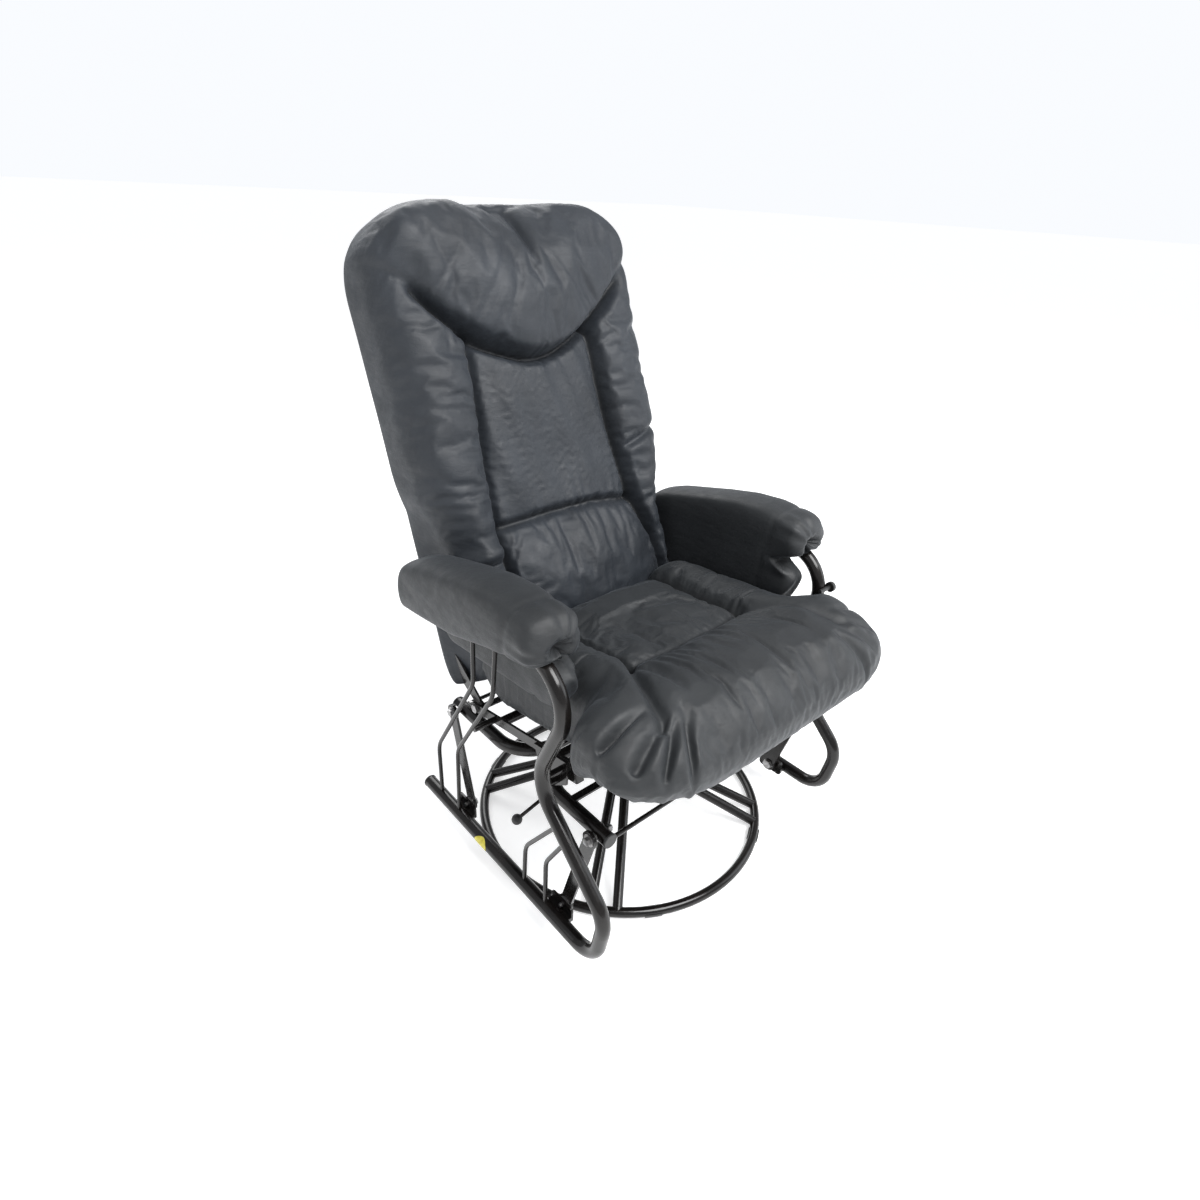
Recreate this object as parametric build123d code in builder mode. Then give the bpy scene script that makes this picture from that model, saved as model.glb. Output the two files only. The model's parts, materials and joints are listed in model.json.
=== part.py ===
"""Swivel glider recliner: round-based tubular steel frame, four swinging glide links, leather cushions.

Millimetres. Origin on the floor at the swivel axis, +Z up, the sitter faces -Y, +X is the sitter's left.
"""
import os
from math import atan2, cos, degrees, radians, sin, sqrt, tan

from build123d import *

# ---------------------------------------------------------------- driving dimensions
ring_radius = 290.0          # base ring, centreline
thin_tube_r = 9.5            # 19 mm tube: base ring, legs, seat cross rails
thin_tube_wall = 1.5
ring_z = 10.5                # centreline height of the base ring
leg_angles = {"front_left": -48.0, "front_right": -138.0, "rear_right": 132.0, "rear_left": 42.0}
leg_spread_ring = 25.0       # half spacing of a leg pair where it meets the ring
leg_spread_hub = 10.5
leg_top_z = 118.0
leg_bend_radius = 74.0       # plan radius at which a leg turns level
hub_r = 38.0
hub_flange_r = 75.0
hub_top_z = 137.0
race_thickness = 5.0
ball_r = 4.0
ball_circle_r = 55.0
ball_count = 24
swivel_bolt_r = 6.0

frame_tube_r = 12.7          # 25.4 mm tube: side frames and carrier
frame_tube_wall = 1.6
carrier_z = 264.0            # level of the two U tubes and of the upper link pivots
glide_y = -18.0              # fore-and-aft centre of the link mechanism
front_bend_y = -52.0
rear_bend_y = -8.0
carrier_x = 262.0
carrier_front_y = -244.0
carrier_rear_y = 204.0
carrier_bend_r = 72.0

link_x = 285.0               # plane of the links
upper_pivot_half = 206.0     # half distance between front and rear upper pivots
lower_pivot_half = 153.0
lower_pivot_z = 70.0
link_width = 25.0
link_thickness = 5.0
pivot_bolt_r = 4.0
bearing_r = 11.0
bearing_width = 7.0
running_clearance = 0.05
open_pivot_r = 7.2           # oversize bearing bore of the two front links at their lower pivots

side_x = 316.0               # plane of each side frame
rail_z = 61.5
heel = (246.0, rail_z)       # corner points (y, z) of the side frame's bends
toe = (-284.0, rail_z)
shin = (-303.0, 175.0)
waist = (-122.0, 338.0)
arm_front = (-237.0, 590.0)
arm_rear = (240.0, 518.0)
side_bends = [55.0, 60.0, 80.0, 74.0]
spindle_r = 4.0

seat_slope = atan2(0.195, 1.0)   # seat rails rise to the front
seat_rail_z = 338.0              # top edge of the seat rails above the origin
seat_rail_x = 272.0
seat_front_v = -163.0            # rail ends, along the slope
seat_rear_v = 138.0
seat_half = 256.0                # seat cushion between the arm pads
roll_half = 318.0                # its front roll, in front of the side frames

back_angle = radians(21.2)       # recline of the upright back
back_foot = (197.0, 430.0)       # (y, z) of the back's mid plane at seat level
back_pivot = (124.9, 304.5)      # on the centreline of the seat rails
back_half = 270.0
back_half_low = 248.0            # narrower where it passes between the arm pads
back_frame_r = 11.0
back_frame_x = 250.0
back_frame_off = -58.0           # the tube lies behind the padding
cushion_front = 78.0
cushion_back = -44.0

pad_inner_x = 257.0              # arm pads, from the inner face to the outer one
pad_outer_x = 353.0
flap_outer_x = 292.0

mirror_plane = Plane.YZ
os.makedirs("parts", exist_ok=True)


# ---------------------------------------------------------------- helpers
def save(builder, name):
    """Label a finished piece and write it."""
    builder.part.label = name
    export_step(builder.part, f"parts/{name}.step")


def tube(points, radii, outer_r, wall=0.0):
    """A bent tube along straight runs joined by tangent arcs; solid when wall is 0."""
    with BuildPart() as bent:
        with BuildLine() as path:
            if radii:
                FilletPolyline(*points, radius=radii)
            else:
                Polyline(*points)
        with BuildSketch(Plane(origin=path.line @ 0, z_dir=path.line % 0)):
            Circle(outer_r)
            if wall:
                Circle(outer_r - wall, mode=Mode.SUBTRACT)
        sweep()
    return bent.part


def rod_x(x0, x1, y, z, radius):
    """A solid round bar along X."""
    with BuildPart() as bar:
        with BuildSketch(Plane(origin=(x0, y, z), x_dir=(0, 1, 0), z_dir=(1, 0, 0))):
            Circle(radius)
        extrude(amount=x1 - x0)
    return bar.part


def plate_x(x0, x1, outline):
    """A flat plate with a (y, z) outline, standing between x0 and x1."""
    with BuildPart() as plate:
        with BuildSketch(Plane(origin=(x0, 0, 0), x_dir=(0, 1, 0), z_dir=(1, 0, 0))):
            with BuildLine():
                Polyline(*outline, close=True)
            make_face()
        extrude(amount=x1 - x0)
    return plate.part


def bolt_x(x_head, x_end, y, z, radius, head_r, head_h):
    """A bolt along X: hexagon head at x_head, shank to x_end. The head stands outside x_head."""
    direction = 1 if x_end > x_head else -1
    with BuildPart() as bolt:
        with BuildSketch(Plane(origin=(x_head, y, z), x_dir=(0, 1, 0), z_dir=(direction, 0, 0))):
            Circle(radius)
        extrude(amount=abs(x_end - x_head))
        with BuildSketch(Plane(origin=(x_head, y, z), x_dir=(0, 1, 0), z_dir=(-direction, 0, 0))):
            RegularPolygon(head_r, 6)
        extrude(amount=head_h)
    return bolt.part


def nut_x(x0, x1, y, z, bore_r, outer_r):
    """A hexagon nut along X."""
    with BuildPart() as nut:
        with BuildSketch(Plane(origin=(x0, y, z), x_dir=(0, 1, 0), z_dir=(1, 0, 0))):
            RegularPolygon(outer_r, 6)
            Circle(bore_r, mode=Mode.SUBTRACT)
        extrude(amount=x1 - x0)
    return nut.part


def seat_point(x, v, w):
    """A point in the sloping seat plane: x across, v rearward along the rails, w above their top edge."""
    return (
        x,
        v * cos(seat_slope) + w * sin(seat_slope),
        seat_rail_z - v * sin(seat_slope) + w * cos(seat_slope),
    )


def back_point(x, up, off):
    """A point of the back: x across, up along its mid plane, off in front of it."""
    return (
        x,
        back_foot[0] + up * sin(back_angle) - off * cos(back_angle),
        back_foot[1] + up * cos(back_angle) + off * sin(back_angle),
    )


def back_plane(off):
    """The plane parallel to the back, off in front of it: local x across, local y up, facing the sitter."""
    facing = (0, -cos(back_angle), sin(back_angle))
    return Plane(origin=back_point(0, 0, off), x_dir=(1, 0, 0), z_dir=facing)


seat_plane = Plane(origin=(0, 0, seat_rail_z), x_dir=(1, 0, 0), z_dir=(0, sin(seat_slope), cos(seat_slope)))

# ---------------------------------------------------------------- base: ring, legs, hub
with BuildPart() as ring_solid:
    with Locations((0, 0, ring_z)):
        Torus(ring_radius, thin_tube_r)

with BuildPart() as base_ring:
    with BuildSketch(Plane.XZ):
        with Locations((ring_radius, ring_z)):
            Circle(thin_tube_r)
            Circle(thin_tube_r - thin_tube_wall, mode=Mode.SUBTRACT)
    revolve(axis=Axis.Z)
save(base_ring, "base_ring")

with BuildPart() as hub_core:
    with Locations((0, 0, leg_top_z)):
        Cylinder(hub_r, 60)

for corner, angle in leg_angles.items():
    along = Vector(cos(radians(angle)), sin(radians(angle)), 0)
    across = Vector(-along.Y, along.X, 0)
    reach = sqrt(ring_radius**2 - leg_spread_ring**2)
    legs = []
    for side in (-1, 1):
        foot = along * reach + across * (side * leg_spread_ring) + Vector(0, 0, ring_z)
        knee = along * leg_bend_radius + across * (side * leg_spread_hub * 1.2) + Vector(0, 0, leg_top_z)
        top = along * (hub_r - 8) + across * (side * leg_spread_hub) + Vector(0, 0, leg_top_z)
        legs.append(tube([foot, knee, top], [60.0], thin_tube_r, thin_tube_wall))
    with BuildPart() as leg_pair:
        add(legs)
        add(ring_solid.part, mode=Mode.SUBTRACT)
        add(hub_core.part, mode=Mode.SUBTRACT)
    save(leg_pair, f"leg_pair_{corner}")

glide_pad_thickness = 1.5
glide_arc = 6.0
with BuildPart() as floor_glides:
    for angle in range(0, 360, 60):
        outward = (cos(radians(angle - glide_arc / 2)), sin(radians(angle - glide_arc / 2)), 0)
        with BuildSketch(Plane(origin=(0, 0, 0), x_dir=outward, z_dir=(outward[1], -outward[0], 0))):
            with Locations((ring_radius, ring_z)):
                Circle(thin_tube_r + glide_pad_thickness)
                Circle(thin_tube_r, mode=Mode.SUBTRACT)
            with Locations((ring_radius, ring_z + 2)):
                Rectangle(40, 40, align=(Align.CENTER, Align.MIN), mode=Mode.SUBTRACT)
            with Locations((ring_radius, 0)):
                Rectangle(40, 40, align=(Align.CENTER, Align.MAX), mode=Mode.SUBTRACT)
        revolve(axis=Axis.Z, revolution_arc=glide_arc)
save(floor_glides, "floor_glides")

hub_wall = 4.0
hub_skirt_low = leg_top_z - 16
hub_flange_low = hub_top_z - race_thickness
hub_bore_r = swivel_bolt_r + running_clearance
with BuildPart() as base_hub:
    with BuildSketch(Plane.XZ):
        with BuildLine():
            Polyline(
                (hub_r - hub_wall, hub_skirt_low), (hub_r, hub_skirt_low), (hub_r, hub_flange_low),
                (hub_flange_r, hub_flange_low), (hub_flange_r, hub_top_z),
                (hub_bore_r, hub_top_z), (hub_bore_r, hub_flange_low),
                (hub_r - hub_wall, hub_flange_low), close=True,
            )
        make_face()
    revolve(axis=Axis.Z)
save(base_hub, "base_hub")

# ---------------------------------------------------------------- swivel bearing and its bolt
race_inner_r = 34.0
race_outer_r = 74.0
lower_race_z = hub_top_z
ball_z = lower_race_z + race_thickness + ball_r / 2
upper_race_z = ball_z + ball_r / 2
pedestal_z = upper_race_z + race_thickness


def race(z):
    """A flat bearing race with a ball groove in the face towards the balls."""
    with BuildPart() as ring:
        with BuildSketch(Plane.XY.offset(z)):
            Circle(race_outer_r)
            Circle(race_inner_r, mode=Mode.SUBTRACT)
        extrude(amount=race_thickness)
        with Locations((0, 0, ball_z)):
            Torus(ball_circle_r, ball_r + running_clearance, mode=Mode.SUBTRACT)
    return ring.part


with BuildPart() as swivel_lower_race:
    add(race(lower_race_z))
save(swivel_lower_race, "swivel_lower_race")

with BuildPart() as swivel_upper_race:
    add(race(upper_race_z))
save(swivel_upper_race, "swivel_upper_race")

with BuildPart() as bearing_balls:
    with Locations((0, 0, ball_z)):
        with PolarLocations(ball_circle_r, ball_count):
            Sphere(ball_r)
save(bearing_balls, "bearing_balls")

cage_thickness = 2.6
with BuildPart() as ball_cage:
    with BuildSketch(Plane.XY.offset(ball_z - cage_thickness / 2)):
        Circle(ball_circle_r + 9)
        Circle(ball_circle_r - 9, mode=Mode.SUBTRACT)
        with PolarLocations(ball_circle_r, ball_count):
            Circle(ball_r + running_clearance, mode=Mode.SUBTRACT)
    extrude(amount=cage_thickness)
save(ball_cage, "ball_cage")

pedestal_wall = 4.0
swivel_hexagon_r = 11.0
swivel_head = 8.0
swivel_nut = 10.0
thread_past_nut = 4.0
nut_gap = 0.3
shank_low = hub_flange_low
nut_z = pedestal_z + pedestal_wall + nut_gap
with BuildPart() as swivel_bolt:
    with BuildSketch(Plane.XY.offset(shank_low)):
        RegularPolygon(swivel_hexagon_r, 6)
    extrude(amount=-swivel_head)
    with BuildSketch(Plane.XY.offset(shank_low)):
        Circle(swivel_bolt_r)
    extrude(amount=nut_z + swivel_nut + thread_past_nut - shank_low)
    with BuildSketch(Plane.XY.offset(nut_z)):
        RegularPolygon(swivel_hexagon_r, 6)
        Circle(hub_bore_r, mode=Mode.SUBTRACT)
    extrude(amount=swivel_nut)
save(swivel_bolt, "swivel_bolt")

# ---------------------------------------------------------------- carrier: pedestal, two U tubes, straps
pedestal_top = carrier_z - frame_tube_r
pedestal_y0 = -72.0
pedestal_y1 = 42.0
pedestal_half = 65.0
with BuildPart() as carrier_pedestal:
    with BuildSketch(Plane(origin=(-pedestal_half, 0, 0), x_dir=(0, 1, 0), z_dir=(1, 0, 0))):
        middle = ((pedestal_y0 + pedestal_y1) / 2, (pedestal_z + pedestal_top) / 2)
        with Locations(middle):
            Rectangle(pedestal_y1 - pedestal_y0, pedestal_top - pedestal_z)
            Rectangle(
                pedestal_y1 - pedestal_y0 - 2 * pedestal_wall, pedestal_top - pedestal_z - 2 * pedestal_wall,
                mode=Mode.SUBTRACT,
            )
    extrude(amount=2 * pedestal_half)
    with BuildSketch(Plane.XY.offset(pedestal_z)):
        Circle(swivel_bolt_r + running_clearance)
    extrude(amount=pedestal_wall, mode=Mode.SUBTRACT)
save(carrier_pedestal, "carrier_pedestal")


def u_tube(end_y, bend_y, outer_r, wall):
    """A flat U: two legs along Y joined by a run across the chair."""
    corners = [
        (-carrier_x, end_y, carrier_z), (-carrier_x, bend_y, carrier_z),
        (carrier_x, bend_y, carrier_z), (carrier_x, end_y, carrier_z),
    ]
    return tube(corners, [carrier_bend_r, carrier_bend_r], outer_r, wall)


upper_pivots = {"front": glide_y - upper_pivot_half, "rear": glide_y + upper_pivot_half}
lower_pivots = {"front": glide_y - lower_pivot_half, "rear": glide_y + lower_pivot_half}
u_solids = {
    "front": u_tube(carrier_front_y, front_bend_y, frame_tube_r, 0.0),
    "rear": u_tube(carrier_rear_y, rear_bend_y, frame_tube_r, 0.0),
}
u_tubes = {
    "front": u_tube(carrier_front_y, front_bend_y, frame_tube_r, frame_tube_wall),
    "rear": u_tube(carrier_rear_y, rear_bend_y, frame_tube_r, frame_tube_wall),
}
for end, u_shape in u_tubes.items():
    with BuildPart() as carrier_tube:
        add(u_shape)
        with BuildSketch(Plane(origin=(-300, 0, 0), x_dir=(0, 1, 0), z_dir=(1, 0, 0))):
            with Locations((upper_pivots[end], carrier_z)):
                Circle(pivot_bolt_r)
        extrude(amount=600, mode=Mode.SUBTRACT)
    save(carrier_tube, f"carrier_{end}_tube")

clamp_x = 45.0
clamp_width = 20.0
clamp_length = 84.0
clamp_cover = 4.0
clamp_y = (front_bend_y + rear_bend_y) / 2
clamp_align = (Align.CENTER, Align.CENTER, Align.MIN)
with BuildPart() as carrier_tube_clamps:
    with Locations((-clamp_x, clamp_y, carrier_z + 1), (clamp_x, clamp_y, carrier_z + 1)):
        Box(clamp_width, clamp_length, frame_tube_r + clamp_cover, align=clamp_align)
    add(list(u_solids.values()), mode=Mode.SUBTRACT)
save(carrier_tube_clamps, "carrier_tube_clamps")

cap_lip = 4.0
cap_plug = 10.0
with BuildPart() as carrier_end_caps:
    for end_y, outward in ((carrier_front_y, -1), (carrier_rear_y, 1)):
        for x in (-carrier_x, carrier_x):
            with BuildSketch(Plane(origin=(x, end_y, carrier_z), z_dir=(0, outward, 0))):
                Circle(frame_tube_r + 0.8)
            extrude(amount=cap_lip)
            with BuildSketch(Plane(origin=(x, end_y, carrier_z), z_dir=(0, -outward, 0))):
                Circle(frame_tube_r - frame_tube_wall)
            extrude(amount=cap_plug)
    fillet(carrier_end_caps.faces().filter_by(Axis.Y).group_by(Axis.Y)[0].edges(), 2)
    fillet(carrier_end_caps.faces().filter_by(Axis.Y).group_by(Axis.Y)[-1].edges(), 2)
save(carrier_end_caps, "carrier_end_caps")

tie_rod_r = 4.0
with BuildPart() as tie_rods:
    for y in (carrier_front_y + 5, carrier_rear_y - 5):
        add(rod_x(-carrier_x, carrier_x, y, carrier_z - 6, tie_rod_r))
    add(list(u_solids.values()), mode=Mode.SUBTRACT)
save(tie_rods, "tie_rods")

strap_width = 14.0
strap_thickness = 4.0
strap_y = {"front": -150.0, "rear": 150.0}
with BuildPart() as cross_straps:
    for y in strap_y.values():
        with Locations((0, y, carrier_z + frame_tube_r)):
            Box(2 * carrier_x, strap_width, strap_thickness, align=(Align.CENTER, Align.CENTER, Align.MIN))
save(cross_straps, "cross_straps")

# ---------------------------------------------------------------- links, bearings and pivot bolts
link_inner = link_x - link_thickness / 2
link_outer = link_x + link_thickness / 2
bolt_outer_x = link_x + bearing_width / 2 + 0.5
with BuildPart() as upper_pivot_bolts:
    for side in (-1, 1):
        for y in upper_pivots.values():
            add(bolt_x(side * bolt_outer_x, side * (carrier_x - 22), y, carrier_z, pivot_bolt_r, 7.5, 5.5))
            spacer = sorted((side * (carrier_x + frame_tube_r), side * (link_x - bearing_width / 2 - 0.4)))
            add(nut_x(*spacer, y, carrier_z, pivot_bolt_r, 7.5))
            nut = sorted((side * (carrier_x - frame_tube_r), side * (carrier_x - frame_tube_r - 6)))
            add(nut_x(*nut, y, carrier_z, pivot_bolt_r, 7.5))
save(upper_pivot_bolts, "upper_pivot_bolts")

link_length = sqrt((upper_pivot_half - lower_pivot_half) ** 2 + (carrier_z - lower_pivot_z) ** 2)
for end in ("front", "rear"):
    top_y, bottom_y = upper_pivots[end], lower_pivots[end]
    tilt = degrees(atan2(bottom_y - top_y, carrier_z - lower_pivot_z))
    for hand, side in (("right", -1), ("left", 1)):
        start_x = -link_outer if side < 0 else link_inner
        link_plane = Plane(
            origin=(start_x, (top_y + bottom_y) / 2, (carrier_z + lower_pivot_z) / 2),
            x_dir=(0, sin(radians(tilt)), -cos(radians(tilt))), z_dir=(1, 0, 0),
        )
        with BuildPart() as link:
            with BuildSketch(link_plane):
                SlotCenterToCenter(link_length, link_width)
                with Locations((-link_length / 2, 0), (link_length / 2, 0)):
                    Circle(link_width / 2 + 3)
                    Circle(bearing_r, mode=Mode.SUBTRACT)
            extrude(amount=link_thickness)
        save(link, f"{end}_{hand}_link")

        lower_bore = open_pivot_r if end == "front" else pivot_bolt_r + running_clearance
        bearing_ends = (side * link_x - bearing_width / 2, side * link_x + bearing_width / 2)
        with BuildPart() as bearings:
            add(rod_x(*bearing_ends, top_y, carrier_z, bearing_r))
            add(rod_x(*bearing_ends, bottom_y, lower_pivot_z, bearing_r))
            add(rod_x(*bearing_ends, top_y, carrier_z, pivot_bolt_r + running_clearance), mode=Mode.SUBTRACT)
            add(rod_x(*bearing_ends, bottom_y, lower_pivot_z, lower_bore), mode=Mode.SUBTRACT)
        save(bearings, f"{end}_{hand}_link_bearings")

# ---------------------------------------------------------------- glide lock lever
lever_y = -30.0
lever_pivot = (-86.0, lever_y, 202.0)
lever_ball = (-290.0, lever_y, 156.0)
lever_r = 3.5
knob_r = 10.0
ear_gap = 5.0
with BuildPart() as lock_lever_bracket:
    for y in (lever_y - ear_gap - 3, lever_y + ear_gap):
        with BuildSketch(Plane(origin=(0, y, 0), x_dir=(1, 0, 0), z_dir=(0, -1, 0))):
            with Locations((lever_pivot[0] + 10.5, lever_pivot[2])):
                Rectangle(21, 22)
            with Locations((lever_pivot[0], lever_pivot[2])):
                Circle(11)
                Circle(3, mode=Mode.SUBTRACT)
        extrude(amount=-3)
    with Locations((-pedestal_half - 1.5, lever_y, lever_pivot[2])):
        Box(3, 2 * ear_gap + 6, 34)
    with BuildSketch(Plane(origin=(lever_pivot[0], lever_y - ear_gap - 5, lever_pivot[2]), z_dir=(0, 1, 0))):
        Circle(3)
    extrude(amount=2 * ear_gap + 10)
save(lock_lever_bracket, "lock_lever_bracket")

with BuildPart() as lock_lever_rod:
    add(tube([lever_pivot, (-175, lever_y, 188), lever_ball], [60.0], lever_r))
    with BuildSketch(Plane(origin=(lever_pivot[0], lever_y - 4, lever_pivot[2]), z_dir=(0, 1, 0))):
        Circle(7.5)
    extrude(amount=8)
    with Locations(lever_ball):
        Sphere(knob_r, mode=Mode.SUBTRACT)
    with BuildSketch(Plane(origin=(lever_pivot[0], lever_y - 10, lever_pivot[2]), z_dir=(0, 1, 0))):
        Circle(3 + running_clearance)
    extrude(amount=20, mode=Mode.SUBTRACT)
save(lock_lever_rod, "lock_lever_rod")

with BuildPart() as lock_lever_knob:
    with Locations(lever_ball):
        Sphere(knob_r)
save(lock_lever_knob, "lock_lever_knob")

# ---------------------------------------------------------------- side frames and spindles
side_route = [(-side_x, y, z) for y, z in (heel, toe, shin, waist, arm_front, arm_rear)]
side_solid = tube(side_route, side_bends, frame_tube_r)
recline_knob_z = 512.0
rise = (recline_knob_z - waist[1]) / (arm_front[1] - waist[1])
recline_knob_at = (waist[0] + rise * (arm_front[0] - waist[0]), recline_knob_z)
knob_shaft_r = 4.0
knob_bore = rod_x(side_x - 20, side_x + 20, *recline_knob_at, knob_shaft_r + running_clearance)

with BuildPart() as side_frame_right:
    add(tube(side_route, side_bends, frame_tube_r, frame_tube_wall))
save(side_frame_right, "side_frame_right")

with BuildPart() as side_frame_left:
    mirror(side_frame_right.part, about=mirror_plane)
    add(knob_bore, mode=Mode.SUBTRACT)
save(side_frame_left, "side_frame_left")

spindle_routes = {
    "rear": (
        ([(197, rail_z), (197, 192), (56, 418), (50, 547)], [70.0, 70.0]),
        ([(132, rail_z), (124, 228), (-3, 425), (-18, 557)], [70.0, 70.0]),
    ),
    "front": (
        ([(-88, rail_z), (-93, 160), (-183, 282)], [60.0]),
        ([(-150, rail_z), (-151, 172), (-204, 264)], [50.0]),
    ),
}
spindle_solids = {}
for end, routes in spindle_routes.items():
    pieces = [tube([(-side_x, y, z) for y, z in route], radii, spindle_r) for route, radii in routes]
    with BuildPart() as spindles_right:
        add(pieces)
        add(side_solid, mode=Mode.SUBTRACT)
    spindle_solids[end] = spindles_right.part
    save(spindles_right, f"{end}_spindles_right")
    with BuildPart() as spindles_left:
        mirror(spindle_solids[end], about=mirror_plane)
    save(spindles_left, f"{end}_spindles_left")

with BuildPart() as rail_end_caps:
    for x in (-side_x, side_x):
        with BuildSketch(Plane(origin=(x, heel[0], rail_z), z_dir=(0, 1, 0))):
            Circle(frame_tube_r + 0.6)
        extrude(amount=3)
        with BuildSketch(Plane(origin=(x, heel[0], rail_z), z_dir=(0, -1, 0))):
            Circle(frame_tube_r - frame_tube_wall)
        extrude(amount=cap_plug)
    fillet(rail_end_caps.faces().filter_by(Axis.Y).group_by(Axis.Y)[-1].edges(), 1.5)
save(rail_end_caps, "rail_end_caps")

bracket_x0 = link_x + 8.0
bracket_x1 = bracket_x0 + 4.0
right_brackets = []
for y in lower_pivots.values():
    with BuildPart() as bracket:
        with BuildSketch(Plane(origin=(-bracket_x1, 0, 0), x_dir=(0, 1, 0), z_dir=(1, 0, 0))):
            with Locations((y, lower_pivot_z - 4)):
                RectangleRounded(58, 34, 8)
            with Locations((y, lower_pivot_z)):
                Circle(pivot_bolt_r, mode=Mode.SUBTRACT)
        extrude(amount=bracket_x1 - bracket_x0)
        with Locations((-side_x, y, rail_z)):
            Box(side_x - bracket_x1, 58, 6, align=(Align.MIN, Align.CENTER, Align.CENTER))
        add(side_solid, mode=Mode.SUBTRACT)
        split(bisect_by=Plane(origin=(-side_x, 0, 0), z_dir=(1, 0, 0)), keep=Keep.TOP)
    right_brackets.append(bracket.part)
with BuildPart() as lower_link_brackets:
    add(right_brackets)
    mirror(right_brackets, about=mirror_plane)
save(lower_link_brackets, "lower_link_brackets")

with BuildPart() as lower_pivot_bolts:
    for side in (-1, 1):
        for y in lower_pivots.values():
            inner_x = link_x - bearing_width / 2 - 0.5
            add(bolt_x(side * inner_x, side * (bracket_x1 + 4), y, lower_pivot_z, pivot_bolt_r, 10.5, 4))
            spacer = sorted((side * (link_x + bearing_width / 2 + 0.5), side * bracket_x0))
            add(nut_x(*spacer, y, lower_pivot_z, pivot_bolt_r, 10.5))
save(lower_pivot_bolts, "lower_pivot_bolts")

sticker_y = 38.0
sticker_thickness = 0.35
sleeve_start = Plane(origin=(-side_x, sticker_y + 30, rail_z), z_dir=(0, -1, 0))
with BuildPart() as oval_sticker:
    with BuildSketch(Plane(origin=(-side_x - 40, sticker_y, rail_z), x_dir=(0, 1, 0), z_dir=(1, 0, 0))):
        Ellipse(19, 12)
    extrude(amount=40)
    with BuildSketch(sleeve_start, mode=Mode.PRIVATE) as sleeve:
        Circle(frame_tube_r + sticker_thickness)
        Circle(frame_tube_r, mode=Mode.SUBTRACT)
    extrude(to_extrude=sleeve.sketch, amount=60, mode=Mode.INTERSECT)
save(oval_sticker, "oval_sticker")

# ---------------------------------------------------------------- seat frame
rail_height = 18.0
rail_gauge = 5.0
web_inner_x = seat_rail_x - rail_gauge
hinge_pin_r = 5.0
hinge_bore_r = hinge_pin_r + running_clearance
rail_start = Plane(
    origin=seat_point(0, seat_front_v, 0), x_dir=(1, 0, 0), z_dir=(0, cos(seat_slope), -sin(seat_slope))
)
with BuildPart() as seat_rail_right:
    with BuildSketch(rail_start):
        with Locations((-(seat_rail_x + web_inner_x) / 2, rail_height / 2)):
            Rectangle(rail_gauge, rail_height)
    extrude(amount=seat_rear_v - seat_front_v)
    add(rod_x(-seat_rail_x, -web_inner_x, *back_pivot, hinge_pin_r), mode=Mode.SUBTRACT)
save(seat_rail_right, "seat_rail_right")

with BuildPart() as seat_rail_left:
    mirror(seat_rail_right.part, about=mirror_plane)
save(seat_rail_left, "seat_rail_left")

cross_rail_w = -10.4
cross_rail_v = {"front": -116.0, "rear": 50.0}
with BuildPart() as seat_cross_rails:
    for v in cross_rail_v.values():
        _, y, z = seat_point(0, v, cross_rail_w)
        add(rod_x(-web_inner_x, web_inner_x, y, z, thin_tube_r))
        add(rod_x(-web_inner_x, web_inner_x, y, z, thin_tube_r - thin_tube_wall), mode=Mode.SUBTRACT)
save(seat_cross_rails, "seat_cross_rails")

spring_wire_r = 1.9
spring_w = 1.3
spring_half = 26.0
spring_turns = 8
spring_pitch = (cross_rail_v["rear"] - cross_rail_v["front"]) / spring_turns
spring_bend_r = 6.0
with BuildPart() as seat_springs:
    for x in (-180, -90, 0, 90, 180):
        zigzag = [seat_point(x, cross_rail_v["front"] - 4, spring_w)]
        for turn in range(spring_turns):
            swing = spring_half if turn % 2 else -spring_half
            for step in (0.12, 0.88):
                v = cross_rail_v["front"] + (turn + step) * spring_pitch
                zigzag.append(seat_point(x + swing, v, spring_w))
        zigzag.append(seat_point(x, cross_rail_v["rear"] + 4, spring_w))
        add(tube(zigzag, [spring_bend_r] * (len(zigzag) - 2), spring_wire_r))
save(seat_springs, "seat_springs")

bracket_gauge = 4.0
bracket_outline = [(-150, 364), (-62, 347), (-84, 300), (-122, 298), (-150, 318)]
boss_r = 6.0
with BuildPart() as frame_brackets_right:
    add(plate_x(-seat_rail_x - bracket_gauge, -seat_rail_x, bracket_outline))
    for y, z in ((-138, 345), (-128, 316)):
        add(rod_x(-side_x, -seat_rail_x - bracket_gauge, y, z, boss_r))
    add(side_solid, mode=Mode.SUBTRACT)
    split(bisect_by=Plane(origin=(-side_x, 0, 0), z_dir=(1, 0, 0)), keep=Keep.TOP)
boss_y = 62.0
boss_z = seat_rail_z - boss_y * tan(seat_slope) - rail_height / 2
with BuildPart() as spindle_boss:
    add(rod_x(-side_x, -seat_rail_x, boss_y, boss_z, boss_r))
    add(spindle_solids["rear"], mode=Mode.SUBTRACT)
    split(bisect_by=Plane(origin=(-side_x, 0, 0), z_dir=(1, 0, 0)), keep=Keep.TOP)
with BuildPart() as frame_brackets:
    add([frame_brackets_right.part, spindle_boss.part])
    mirror([frame_brackets_right.part, spindle_boss.part], about=mirror_plane)
save(frame_brackets, "frame_brackets")

block_at = seat_point(-web_inner_x + 9, seat_front_v + 16, -rail_height)
block_plane = Plane(origin=block_at, x_dir=(1, 0, 0), z_dir=seat_plane.z_dir)
with BuildPart() as front_rail_blocks:
    with BuildSketch(block_plane):
        RectangleRounded(17, 26, 3)
    extrude(amount=-26)
    mirror(about=mirror_plane)
save(front_rail_blocks, "front_rail_blocks")

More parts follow.
